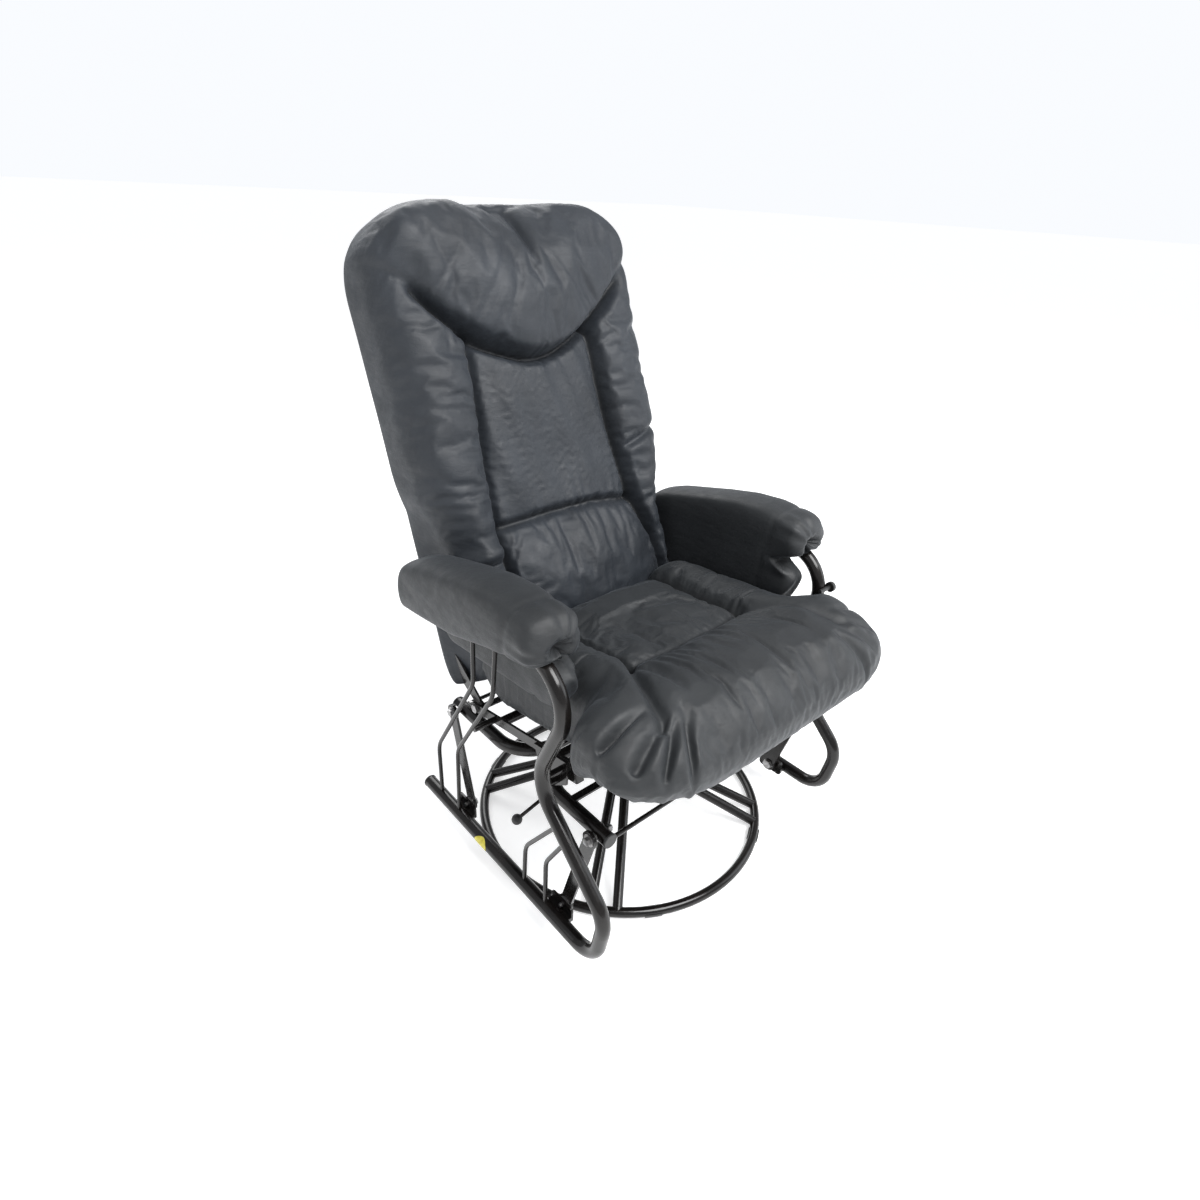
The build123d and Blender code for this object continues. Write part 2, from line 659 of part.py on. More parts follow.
# ---------------------------------------------------------------- back hinge
plate_inner = back_frame_x + 8.0
plate_outer = plate_inner + 4.0
hinge_boss_r = 12.0
with BuildPart() as back_hinge_pins:
    for side in (-1, 1):
        add(bolt_x(side * seat_rail_x, side * (plate_inner - 3), *back_pivot, hinge_pin_r, 9, 5))
        washer = sorted((side * (plate_outer + 0.3), side * web_inner_x))
        add(nut_x(*washer, *back_pivot, hinge_pin_r, 8))
save(back_hinge_pins, "back_hinge_pins")

# ---------------------------------------------------------------- back frame
frame_low_up = -58.0
frame_top_up = 690.0
frame_corner_r = 70.0
frame_corners = [
    back_point(-back_frame_x, frame_low_up, back_frame_off),
    back_point(-back_frame_x, frame_top_up, back_frame_off),
    back_point(back_frame_x, frame_top_up, back_frame_off),
    back_point(back_frame_x, frame_low_up, back_frame_off),
]
back_frame_solid = tube(frame_corners, [frame_corner_r, frame_corner_r], back_frame_r)
with BuildPart() as back_frame:
    add(tube(frame_corners, [frame_corner_r, frame_corner_r], back_frame_r, thin_tube_wall))
save(back_frame, "back_frame")

plate_foot = [back_point(0, up, off)[1:] for up, off in ((-56, -68), (20, -68), (20, -48), (-30, -40))]
plate_tip = [(back_pivot[0], back_pivot[1] + hinge_boss_r), (back_pivot[0], back_pivot[1] - hinge_boss_r)]
with BuildPart() as back_hinge_plate:
    add(plate_x(-plate_outer, -plate_inner, [*plate_foot, *plate_tip]))
    add(rod_x(-plate_outer, -plate_inner, *back_pivot, hinge_boss_r))
    add(back_frame_solid, mode=Mode.SUBTRACT)
    add(rod_x(-plate_outer, -plate_inner, *back_pivot, hinge_bore_r), mode=Mode.SUBTRACT)
with BuildPart() as back_hinge_plates:
    add(back_hinge_plate.part)
    mirror(back_hinge_plate.part, about=mirror_plane)
save(back_hinge_plates, "back_hinge_plates")

back_rail_r = 8.0
with BuildPart() as back_cross_rails:
    for up in (-30.0, 330.0):
        _, y, z = back_point(0, up, back_frame_off)
        add(rod_x(-back_frame_x, back_frame_x, y, z, back_rail_r))
        add(rod_x(-back_frame_x, back_frame_x, y, z, back_rail_r - thin_tube_wall), mode=Mode.SUBTRACT)
    add(back_frame_solid, mode=Mode.SUBTRACT)
save(back_cross_rails, "back_cross_rails")

board = 2.5
with BuildPart() as back_board:
    with BuildSketch(back_plane(back_frame_off + back_frame_r)):
        with Locations((0, 320)):
            RectangleRounded(2 * back_frame_x, 730, 30)
    extrude(amount=board)
save(back_board, "back_board")

with BuildPart() as back_rear_cover:
    with BuildSketch(back_plane(back_frame_off - back_frame_r - board)):
        with Locations((0, 320)):
            RectangleRounded(2 * back_half_low, 730, 40)
    extrude(amount=board)
save(back_rear_cover, "back_rear_cover")

# ---------------------------------------------------------------- back and head cushions
back_low_up = -95.0
wide_from_up = 225.0
head_from_up = 480.0
head_top_up = 742.0
head_front = 100.0
head_corner_r = 110.0
cushion_edge_r = 45.0
back_edge_r = 20.0
soft_gap = 0.5
back_normal = Axis((0, 0, 0), (0, -cos(back_angle), sin(back_angle)))
back_upward = Axis((0, 0, 0), (0, sin(back_angle), cos(back_angle)))
with BuildPart() as back_cushion:
    with BuildSketch(back_plane(cushion_back)):
        with Locations((0, (back_low_up + wide_from_up) / 2)):
            Rectangle(2 * back_half_low, wide_from_up - back_low_up)
        with Locations((0, (wide_from_up + head_from_up) / 2)):
            Rectangle(2 * back_half, head_from_up - wide_from_up)
    extrude(amount=cushion_front - cushion_back)
    fillet(back_cushion.faces().sort_by(back_normal)[-1].edges().filter_by(back_upward), back_edge_r)
save(back_cushion, "back_cushion")

with BuildPart() as headrest_cushion:
    with BuildSketch(back_plane(cushion_back)) as head_outline:
        with Locations((0, (head_from_up + soft_gap + head_top_up) / 2)):
            Rectangle(2 * back_half, head_top_up - head_from_up - soft_gap)
        fillet(head_outline.vertices().group_by(Axis.Z)[-1], head_corner_r)
    extrude(amount=head_front - cushion_back)
    fillet(headrest_cushion.faces().sort_by(back_normal)[-1].edges(), cushion_edge_r)
save(headrest_cushion, "headrest_cushion")

# ---------------------------------------------------------------- seat cushion
roll_centre = (-308.0, 440.0)
roll_r = 65.0
seat_bottom_w = 4.3
roll_low = roll_centre[1] - roll_r
roll_high = roll_centre[1] + roll_r
seat_rear_low = (66.0, seat_rail_z + seat_bottom_w - 66.0 * tan(seat_slope))
seat_rear_high = (128.0, 471.0)
pan_meets_roll = (-175.0, seat_rail_z + seat_bottom_w + 175.0 * tan(seat_slope))
shoulder_low = (-168.0, roll_low)
shoulder_high = (-226.0, 503.0)


def seat_slab(half_width, *rear):
    """A slab of seat cushion from its front roll back to the given (y, z) points."""
    with BuildPart() as slab:
        with BuildSketch(Plane(origin=(-half_width, 0, 0), x_dir=(0, 1, 0), z_dir=(1, 0, 0))):
            with BuildLine():
                Polyline((roll_centre[0], roll_high), *rear, (roll_centre[0], roll_low))
                ThreePointArc(
                    (roll_centre[0], roll_low),
                    (roll_centre[0] - roll_r, roll_centre[1]),
                    (roll_centre[0], roll_high),
                )
            make_face()
        extrude(amount=2 * half_width)
    return slab.part


with BuildPart() as seat_cushion:
    add(seat_slab(seat_half, (-150, 499), (100, 477), seat_rear_high, seat_rear_low, pan_meets_roll))
    add(seat_slab(roll_half, shoulder_high, shoulder_low))
save(seat_cushion, "seat_cushion")

# ---------------------------------------------------------------- arm pads
pad_outline = [
    (-165, 606), (-150, 634), (-60, 643), (68, 627), (190, 597), (246, 574),
    (250, 500), (169, 509), (64, 524), (-38, 552), (-165, 560),
]
flap_outline = [(-155, 570), (180, 560), (180, 460), (-118, 494), (-155, 535)]
pad_edge_r = 26.0
with BuildPart() as arm_pad_right:
    add(plate_x(-pad_outer_x, -pad_inner_x, pad_outline))
    fillet(arm_pad_right.faces().filter_by(Axis.X).sort_by(Axis.X)[0].edges(), pad_edge_r)
    add(plate_x(-flap_outer_x, -pad_inner_x, flap_outline))
    add([side_solid, spindle_solids["rear"]], mode=Mode.SUBTRACT)
save(arm_pad_right, "arm_pad_right")

with BuildPart() as arm_pad_left:
    mirror(arm_pad_right.part, about=mirror_plane)
save(arm_pad_left, "arm_pad_left")

# ---------------------------------------------------------------- recline lock knob
knob_clear = 0.6
knob_length = 9.0
knob_outer_r = 10.0
knob_base_x = side_x + frame_tube_r + knob_clear
with BuildPart() as recline_knob:
    add(rod_x(side_x - frame_tube_r - 6, knob_base_x, *recline_knob_at, knob_shaft_r))
    add(rod_x(knob_base_x, knob_base_x + knob_length, *recline_knob_at, knob_outer_r))
    fillet(recline_knob.faces().filter_by(Axis.X).sort_by(Axis.X)[-1].edges(), 2.5)
save(recline_knob, "recline_knob")
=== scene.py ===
"""Looks of a swivel glider recliner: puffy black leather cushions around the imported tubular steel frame. Metres."""

import json
from math import cos, pi, radians, sin

import bpy
import numpy as np
from mathutils import Matrix, Vector, noise


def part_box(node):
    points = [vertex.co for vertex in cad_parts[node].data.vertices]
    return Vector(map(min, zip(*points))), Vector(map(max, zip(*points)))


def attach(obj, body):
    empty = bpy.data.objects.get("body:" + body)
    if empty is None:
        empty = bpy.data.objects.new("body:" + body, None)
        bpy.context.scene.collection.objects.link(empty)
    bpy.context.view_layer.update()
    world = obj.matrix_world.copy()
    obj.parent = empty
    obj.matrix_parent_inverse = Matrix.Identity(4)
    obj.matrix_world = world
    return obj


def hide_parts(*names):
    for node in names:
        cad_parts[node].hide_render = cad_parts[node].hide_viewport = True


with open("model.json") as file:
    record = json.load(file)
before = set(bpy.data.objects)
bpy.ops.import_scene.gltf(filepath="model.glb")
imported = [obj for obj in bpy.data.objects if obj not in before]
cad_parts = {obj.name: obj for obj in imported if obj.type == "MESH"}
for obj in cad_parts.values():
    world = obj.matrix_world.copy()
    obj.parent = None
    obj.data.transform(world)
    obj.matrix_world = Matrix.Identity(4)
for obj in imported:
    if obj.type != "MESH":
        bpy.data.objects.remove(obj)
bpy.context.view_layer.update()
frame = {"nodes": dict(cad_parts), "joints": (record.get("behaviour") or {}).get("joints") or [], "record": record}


# ---------------------------------------------------------------- small maths
def smooth(low, high, value):
    """0 below low, 1 above high, smooth between."""
    t = np.clip((value - low) / (high - low), 0.0, 1.0)
    return t * t * (3 - 2 * t)


def bump(value, centre, width):
    """A smooth bell of height 1."""
    return np.exp(-(((value - centre) / width) ** 2))


def wobble(a, b, scale, seed=0.0):
    """Smooth noise, about -1 to 1, over two arrays of coordinates in metres."""
    flat = [noise.noise(Vector((x * scale, y * scale, seed))) for x, y in zip(np.ravel(a), np.ravel(b))]
    return np.array(flat).reshape(np.shape(a)) * 1.6


def seam_distance(a, b, route):
    """Distance from each point (a, b) to a polyline, and the length along it to the nearest point."""
    best = np.full(np.shape(a), 1e9)
    along = np.zeros(np.shape(a))
    run = 0.0
    for (a0, b0), (a1, b1) in zip(route, route[1:]):
        length = np.hypot(a1 - a0, b1 - b0)
        t = np.clip(((a - a0) * (a1 - a0) + (b - b0) * (b1 - b0)) / length**2, 0, 1)
        d = np.hypot(a - a0 - t * (a1 - a0), b - b0 - t * (b1 - b0))
        nearer = d < best
        best = np.where(nearer, d, best)
        along = np.where(nearer, run + t * length, along)
        run += length
    return best, along


def gathers(distance, along, reach, pitch, seed):
    """Puckers across a seam that die away over reach: ridges every pitch along it, unevenly spaced."""
    phase = along / pitch + 0.9 * wobble(along, distance * 0, 14.0, seed)
    strength = 0.55 + 0.45 * wobble(along, distance * 0, 9.0, seed + 3.7)
    return np.sin(2 * pi * phase) * strength * np.exp(-distance / reach) * smooth(0, 0.006, distance)


# ---------------------------------------------------------------- mesh building
def edge_samples(count, round_share, round_count):
    """Positions from -1 to 1 with a quarter-round's spacing at both ends, and that round's height factor."""
    theta = np.linspace(0, pi / 2, round_count, endpoint=False)
    near = round_share * (1 - np.cos(theta))
    middle = np.linspace(round_share, 2 - round_share, count)
    place = np.concatenate([near, middle, (2 - near)[::-1]]) - 1
    height = np.concatenate([np.sin(theta), np.ones(count), np.sin(theta)[::-1]])
    return place, height


cloth_frames = 16
seam_shade_width = 0.0042    # painted shade darkens the leather in the seams, over about this distance
seam_shade_depth = 0.85


def new_object(name, points, faces):
    mesh = bpy.data.meshes.new(name)
    mesh.from_pydata([tuple(p) for p in points], [], faces)
    mesh.validate()
    mesh.polygons.foreach_set("use_smooth", [True] * len(mesh.polygons))
    obj = bpy.data.objects.new(name, mesh)
    bpy.context.scene.collection.objects.link(obj)
    return obj


def pillow(name, front, rear, front_hold, rear_hold, seams):
    """A closed cushion from two grids of points that share their rims, and each point's hold for the cloth.

    seams is the front grid's nearness to a stitched seam, 1 in it, kept on the mesh as painted shade that darkens the
    leather there."""
    rows, columns = front.shape[:2]
    points = list(front.reshape(-1, 3))
    front_id = np.arange(rows * columns).reshape(rows, columns)
    rear_id = front_id.copy()
    hold = list(front_hold.ravel())
    for i in range(1, rows - 1):
        for j in range(1, columns - 1):
            rear_id[i, j] = len(points)
            points.append(rear[i, j])
            hold.append(rear_hold)
    faces = []
    for i in range(rows - 1):
        for j in range(columns - 1):
            faces.append((front_id[i, j], front_id[i, j + 1], front_id[i + 1, j + 1], front_id[i + 1, j]))
            faces.append((rear_id[i, j], rear_id[i + 1, j], rear_id[i + 1, j + 1], rear_id[i, j + 1]))
    obj = new_object(name, points, [tuple(int(v) for v in f) for f in faces])
    painted_crevice_shade = np.zeros(len(points))
    painted_crevice_shade[:rows * columns] = seams.ravel()
    obj.data.attributes.new("painted_crevice_shade", "FLOAT", "POINT").data.foreach_set("value", painted_crevice_shade)
    return obj, hold


def ring_loft(name, loops):
    """A closed tube through equal loops of points, closed at each end by a fan to the loop's middle."""
    count, around = loops.shape[:2]
    points = list(loops.reshape(-1, 3))
    faces = []
    for i in range(count - 1):
        for j in range(around):
            k = (j + 1) % around
            faces.append((i * around + j, i * around + k, (i + 1) * around + k, (i + 1) * around + j))
    for start, flip in ((0, True), ((count - 1) * around, False)):
        middle = len(points)
        points.append(loops.reshape(-1, 3)[start:start + around].mean(axis=0))
        for j in range(around):
            a, b = start + j, start + (j + 1) % around
            faces.append((b, a, middle) if flip else (a, b, middle))
    return new_object(name, points, faces)


def refine(obj):
    """One level of subdivision, which rounds the mesh's facets."""
    subdivision = obj.modifiers.new("refine", "SUBSURF")
    subdivision.levels = 1
    subdivision.render_levels = 1


def settle(obj, hold, pressure, slack, cap):
    """Runs cloth on the cushion: points with hold 1 stay, the rest puff and wrinkle, moving at most cap metres."""
    rest = np.array([v.co[:] for v in obj.data.vertices])
    group = obj.vertex_groups.new(name="hold")
    for index, weight in enumerate(hold):
        group.add([index], float(weight), "REPLACE")
    modifier = obj.modifiers.new("cloth", "CLOTH")
    settings = modifier.settings
    settings.quality = 6
    settings.mass = 0.4
    settings.tension_stiffness = 40
    settings.compression_stiffness = 40
    settings.shear_stiffness = 12
    settings.bending_stiffness = 0.6
    settings.tension_damping = 15
    settings.compression_damping = 15
    settings.air_damping = 3
    settings.use_pressure = True
    settings.uniform_pressure_force = pressure
    settings.shrink_min = -slack
    settings.vertex_group_mass = "hold"
    settings.pin_stiffness = 1.0
    settings.effector_weights.gravity = 0.0
    modifier.collision_settings.use_collision = False
    modifier.collision_settings.use_self_collision = False
    modifier.point_cache.frame_start = 1
    modifier.point_cache.frame_end = cloth_frames
    scene = bpy.context.scene
    for number in range(1, cloth_frames + 1):
        scene.frame_set(number)
    evaluated = obj.evaluated_get(bpy.context.evaluated_depsgraph_get())
    moved = np.array([v.co[:] for v in evaluated.data.vertices]) - rest
    obj.modifiers.remove(modifier)
    scene.frame_set(1)
    length = np.linalg.norm(moved, axis=1, keepdims=True)
    moved = np.where(np.isfinite(moved), moved, 0.0) * np.minimum(1.0, cap / np.maximum(length, 1e-9))
    obj.data.vertices.foreach_set("co", (rest + moved).ravel())
    obj.data.update()


def smoothed(obj, factor, repeat):
    """A plain smoothing pass over the mesh's own points."""
    modifier = obj.modifiers.new("soften", "SMOOTH")
    modifier.factor = factor
    modifier.iterations = repeat


# ---------------------------------------------------------------- materials
def material(name):
    made = bpy.data.materials.new(name)
    made.use_nodes = True
    nodes, links = made.node_tree.nodes, made.node_tree.links
    return made, nodes, links, nodes["Principled BSDF"]


def texture_space(nodes, links, scale=(1, 1, 1)):
    place = nodes.new("ShaderNodeTexCoord")
    mapping = nodes.new("ShaderNodeMapping")
    mapping.inputs["Scale"].default_value = scale
    links.new(place.outputs["Object"], mapping.inputs["Vector"])
    return mapping.outputs["Vector"]


def noise_node(nodes, links, vector, scale, detail=3.0, rough=0.5):
    node = nodes.new("ShaderNodeTexNoise")
    node.inputs["Scale"].default_value = scale
    node.inputs["Detail"].default_value = detail
    node.inputs["Roughness"].default_value = rough
    links.new(vector, node.inputs["Vector"])
    return node.outputs["Fac"]


def ramp_node(nodes, links, value, stops):
    """A colour ramp; each stop is a position and a colour, or one number for a grey."""
    stops = [(place, color if isinstance(color, tuple) else (color,) * 3) for place, color in stops]
    node = nodes.new("ShaderNodeValToRGB")
    ramp = node.color_ramp
    ramp.elements[0].position, ramp.elements[0].color = stops[0][0], (*stops[0][1], 1)
    ramp.elements[1].position, ramp.elements[1].color = stops[-1][0], (*stops[-1][1], 1)
    for position, color in stops[1:-1]:
        ramp.elements.new(position).color = (*color, 1)
    links.new(value, node.inputs["Fac"])
    return node.outputs["Color"]


def bump_node(nodes, links, height, strength, distance, normal=None):
    node = nodes.new("ShaderNodeBump")
    node.inputs["Strength"].default_value = strength
    node.inputs["Distance"].default_value = distance
    links.new(height, node.inputs["Height"])
    if normal is not None:
        links.new(normal, node.inputs["Normal"])
    return node.outputs["Normal"]


def leather_material(name, dark, light):
    """Soft upholstery leather: pebbled grain, fine creases, slow colour drift and a satin finish that varies."""
    made, nodes, links, shader = material(name)
    space = texture_space(nodes, links)
    cells = nodes.new("ShaderNodeTexVoronoi")
    cells.feature = "DISTANCE_TO_EDGE"
    cells.inputs["Scale"].default_value = 620
    warp = nodes.new("ShaderNodeVectorMath")
    warp.operation = "MULTIPLY_ADD"
    drift = nodes.new("ShaderNodeTexNoise")
    drift.inputs["Scale"].default_value = 160
    links.new(space, drift.inputs["Vector"])
    links.new(drift.outputs["Color"], warp.inputs[0])
    warp.inputs[1].default_value = (0.0022, 0.0022, 0.0022)
    links.new(space, warp.inputs[2])
    links.new(warp.outputs["Vector"], cells.inputs["Vector"])
    pebble = ramp_node(nodes, links, cells.outputs["Distance"], [(0.0, 0), (0.22, 0.8), (0.6, 1)])
    creases = noise_node(nodes, links, space, 45, 6, 0.62)
    folds = noise_node(nodes, links, texture_space(nodes, links, (1.0, 1.0, 3.0)), 16, 4, 0.55)
    normal = bump_node(nodes, links, folds, 0.30, 0.006)
    normal = bump_node(nodes, links, creases, 0.22, 0.0016, normal)
    normal = bump_node(nodes, links, pebble, 0.30, 0.0003, normal)
    links.new(normal, shader.inputs["Normal"])
    tone = noise_node(nodes, links, space, 7, 5, 0.6)
    # painted shade: the mesh's crevice value mixes the colour towards near black in the seams
    painted_crevice_shade = nodes.new("ShaderNodeAttribute")
    painted_crevice_shade.attribute_name = "painted_crevice_shade"
    shaded = nodes.new("ShaderNodeMixRGB")
    shaded.inputs["Color2"].default_value = (0.004, 0.0045, 0.005, 1)
    links.new(painted_crevice_shade.outputs["Fac"], shaded.inputs["Fac"])
    links.new(ramp_node(nodes, links, tone, [(0.3, dark), (0.72, light)]), shaded.inputs["Color1"])
    links.new(shaded.outputs["Color"], shader.inputs["Base Color"])
    polish = ramp_node(nodes, links, creases, [(0.3, 0.48), (0.7, 0.63)])
    links.new(polish, shader.inputs["Roughness"])
    shader.inputs["Specular IOR Level"].default_value = 0.45
    shader.inputs["Sheen Weight"].default_value = 0.06
    shader.inputs["Sheen Roughness"].default_value = 0.45
    shader.inputs["Sheen Tint"].default_value = (0.72, 0.80, 0.90, 1)
    return made


def painted_steel():
    """Black stoving enamel on steel tube: glossy, faint orange peel, a few dull patches, and a brown cast that is a
    painted reflection of brown surroundings.
    """
    made, nodes, links, shader = material("black_enamel")
    space = texture_space(nodes, links)
    peel = noise_node(nodes, links, space, 420, 2, 0.5)
    dull_patch_and_brown_reflection = noise_node(nodes, links, space, 18, 5, 0.6)
    links.new(bump_node(nodes, links, peel, 0.10, 0.0003), shader.inputs["Normal"])
    # the colour varies in patches at random, with a brown cast that is a painted reflection of the brown surroundings
    color = ramp_node(nodes, links, dull_patch_and_brown_reflection, [(0.35, (0.0045, 0.0040, 0.0038)), (0.7, (0.0105, 0.0085, 0.0075))])
    links.new(color, shader.inputs["Base Color"])
    links.new(ramp_node(nodes, links, dull_patch_and_brown_reflection, [(0.3, 0.15), (0.75, 0.30)]), shader.inputs["Roughness"])
    shader.inputs["Specular IOR Level"].default_value = 0.30
    shader.inputs["Coat Weight"].default_value = 0.20
    shader.inputs["Coat Roughness"].default_value = 0.10
    return made


def bright_steel():
    """Zinc-plated steel: dull bright metal with grime that darkens and roughens it."""
    made, nodes, links, shader = material("zinc_steel")
    space = texture_space(nodes, links)
    grime = noise_node(nodes, links, space, 60, 5, 0.6)
    fine = noise_node(nodes, links, texture_space(nodes, links, (1, 8, 8)), 300, 2, 0.5)
    color = ramp_node(nodes, links, grime, [(0.3, (0.23, 0.22, 0.21)), (0.7, (0.48, 0.48, 0.49))])
    links.new(color, shader.inputs["Base Color"])
    links.new(ramp_node(nodes, links, grime, [(0.3, 0.48), (0.7, 0.27)]), shader.inputs["Roughness"])
    links.new(bump_node(nodes, links, fine, 0.12, 0.0002), shader.inputs["Normal"])
    shader.inputs["Metallic"].default_value = 1.0
    return made


def black_plastic():
    """Moulded black plastic with a fine grain and scuffs."""
    made, nodes, links, shader = material("black_plastic")
    space = texture_space(nodes, links)
    fine = noise_node(nodes, links, space, 900, 2, 0.5)
    scuff = noise_node(nodes, links, space, 50, 5, 0.65)
    links.new(bump_node(nodes, links, fine, 0.2, 0.0002), shader.inputs["Normal"])
    links.new(ramp_node(nodes, links, scuff, [(0.35, 0.012), (0.75, 0.03)]), shader.inputs["Base Color"])
    links.new(ramp_node(nodes, links, scuff, [(0.35, 0.36), (0.75, 0.55)]), shader.inputs["Roughness"])
    return made


def plywood():
    """Birch plywood, its grain drawn out along x."""
    made, nodes, links, shader = material("plywood")
    grain = noise_node(nodes, links, texture_space(nodes, links, (14, 1, 1)), 22, 6, 0.6)
    color = ramp_node(nodes, links, grain, [(0.3, (0.30, 0.18, 0.09)), (0.7, (0.52, 0.36, 0.20))])
    links.new(color, shader.inputs["Base Color"])
    links.new(bump_node(nodes, links, grain, 0.2, 0.0005), shader.inputs["Normal"])
    shader.inputs["Roughness"].default_value = 0.7
    return made


def sticker_vinyl():
    """A blank oval label: faded yellow with a slightly browned rim and fine scratches."""
    made, nodes, links, shader = material("yellow_vinyl")
    space = texture_space(nodes, links)
    stain = noise_node(nodes, links, space, 130, 4, 0.6)
    color = ramp_node(nodes, links, stain, [(0.35, (0.50, 0.42, 0.03)), (0.7, (0.78, 0.70, 0.10))])
    links.new(color, shader.inputs["Base Color"])
    links.new(bump_node(nodes, links, stain, 0.1, 0.0003), shader.inputs["Normal"])
    shader.inputs["Roughness"].default_value = 0.35
    return made


leather = leather_material("black_leather", (0.0135, 0.0150, 0.0165), (0.0245, 0.0268, 0.0290))
# the same leather made bluish: painted skylight, for the back
leather_painted_skylight = leather_material("black_leather_painted_skylight", (0.0135, 0.0162, 0.0205), (0.0240, 0.0285, 0.0355))
# the same leather made darker: painted shade, for the frame's own leather parts
leather_shade = leather_material("black_leather_back", (0.010, 0.011, 0.012), (0.018, 0.020, 0.022))
finishes = {
    "black_steel": painted_steel(),
    "zinc_steel": bright_steel(),
    "black_plastic": black_plastic(),
    "plywood": plywood(),
    "sticker": sticker_vinyl(),
    "leather": leather_shade,
}
for part in frame["record"]["subparts"]:
    node = frame["nodes"][part["node"]]
    node.data.materials.clear()
    node.data.materials.append(finishes[part["material_slot"]])


def finish_piece(obj, body, *nodes, fill, skin=leather):
    """Gives a cushion its leather, its body and the CAD nodes that it stands in for."""
    obj.data.materials.append(skin)
    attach(obj, body)
    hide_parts(*nodes)


# ---------------------------------------------------------------- back: one upholstered shell with a head pillow
recline = next(j for j in frame["joints"] if j["name"] == "recline")
back_angle = radians(21.2)
back_foot = Vector(recline["pos_m"]) + Vector((0, 0.0721, 0.1255))
back_up = Vector((0, sin(back_angle), cos(back_angle)))
back_out = Vector((0, -cos(back_angle), sin(back_angle)))


def on_back(x, up, off):
    """Points of the back as an (..., 3) array: x across, up along its mid plane, off in front of it."""
    across = x[..., None] * np.array((1, 0, 0))
    return np.array(back_foot) + across + up[..., None] * np.array(back_up) + off[..., None] * np.array(back_out)


back_low = -0.104            # bottom edge of the back, along back_up from back_foot
back_rear = -0.079           # rear face, along back_out
fold_low = 0.464             # lowest point of the fold under the head pillow
panel_low = 0.176            # top edge of the lumbar roll


def fold_line(x):
    """Height of the fold under the head pillow, which rises towards the sides."""
    return fold_low + 0.152 * (np.abs(x) / 0.25) ** 1.75


def back_half_width(up):
    """Narrow between the arms, wider above them, a little narrower again at the top corners."""
    return 0.249 + 0.035 * smooth(0.10, 0.31, up) - 0.012 * smooth(0.60, 0.72, up)


def back_top(x):
    """Height of the top edge: rounded corners, the sitter's left one more, and two slack humps between them."""
    left = np.clip((x - 0.140) / 0.136, 0, 1)
    right = np.clip((-x - 0.135) / 0.141, 0, 1)
    corner = 0.125 * (1 - np.sqrt(1 - left**2)) + 0.110 * (1 - np.sqrt(1 - right**2))
    humps = 0.007 * bump(x, -0.090, 0.05) + 0.005 * bump(x, 0.13, 0.05) - 0.004 * bump(x, -0.055, 0.025)
    return 0.752 + humps + 0.004 * bump(x, 0.03, 0.09) - corner


# seams of the back's face as (x, up) routes; near is the side towards the photo's camera
panel_edge_near = [
    (-0.134, 0.520), (-0.143, 0.40), (-0.153, 0.28), (-0.160, 0.176), (-0.158, 0.07), (-0.150, -0.02),
]
panel_edge_far = [(0.141, 0.530), (0.147, 0.40), (0.158, 0.28), (0.171, 0.165), (0.195, 0.08), (0.215, -0.02)]
lumbar_edge = [(-0.160, 0.172), (-0.03, 0.180), (0.07, 0.178), (0.171, 0.163)]
head_fold = [(x, float(fold_line(np.array(x)))) for x in np.linspace(-0.225, 0.225, 19)]


